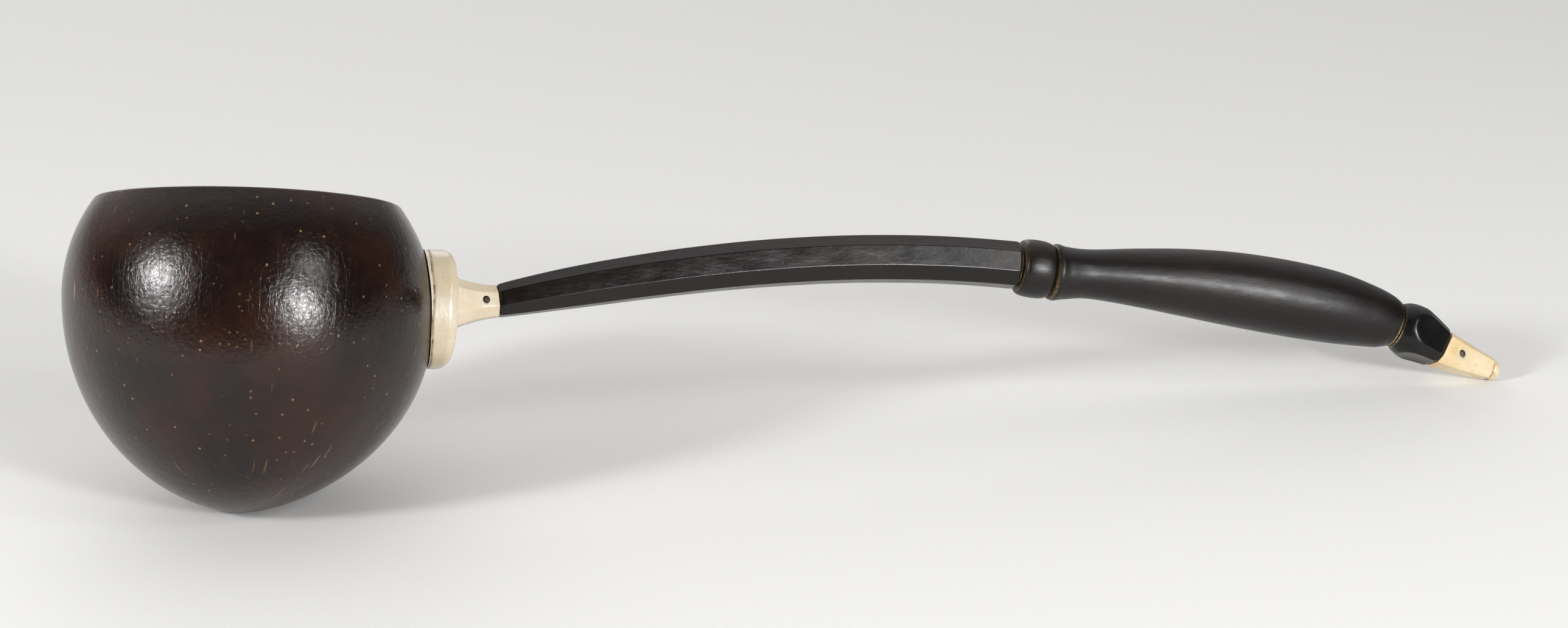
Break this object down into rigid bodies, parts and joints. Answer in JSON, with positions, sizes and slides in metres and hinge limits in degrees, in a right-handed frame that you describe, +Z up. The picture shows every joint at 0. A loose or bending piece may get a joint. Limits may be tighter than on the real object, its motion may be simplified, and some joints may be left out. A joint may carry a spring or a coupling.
{
  "type": "coconut shell dipper",
  "caption": "Ladle with a polished coconut-shell bowl, a riveted bone flange, an arched dark wood shaft with bead and swelling grip, and a bone tip.",
  "frame": {"origin": "on the table, in the middle of the resting ladle's bounding box", "axes": "+X runs from the bowl to the tip, +Z points up from the table, and the bowl's mouth leans towards +Y"},
  "size_m": [0.4382, 0.1056, 0.0997],
  "materials": {
    "coconut_shell": "satin",
    "bone": "satin",
    "ebony": "satin",
    "copper_alloy": "matte",
    "dowel_wood": "matte"
  },
  "bodies": {
    "root": {"bowl_shell": "coconut_shell", "bone_flange": "bone", "flange_rivet_1": "copper_alloy", "flange_rivet_2": "copper_alloy", "flange_rivet_3": "copper_alloy", "rivet_rove_1": "copper_alloy", "rivet_rove_2": "copper_alloy", "rivet_rove_3": "copper_alloy", "socket_pin": "copper_alloy", "shaft": "ebony", "collar_bead": "ebony", "grip_dowel": "dowel_wood", "grip": "ebony", "end_cap": "ebony", "cap_dowel": "dowel_wood", "bone_tip": "bone", "tip_pin": "copper_alloy"}
  },
  "joints": []
}
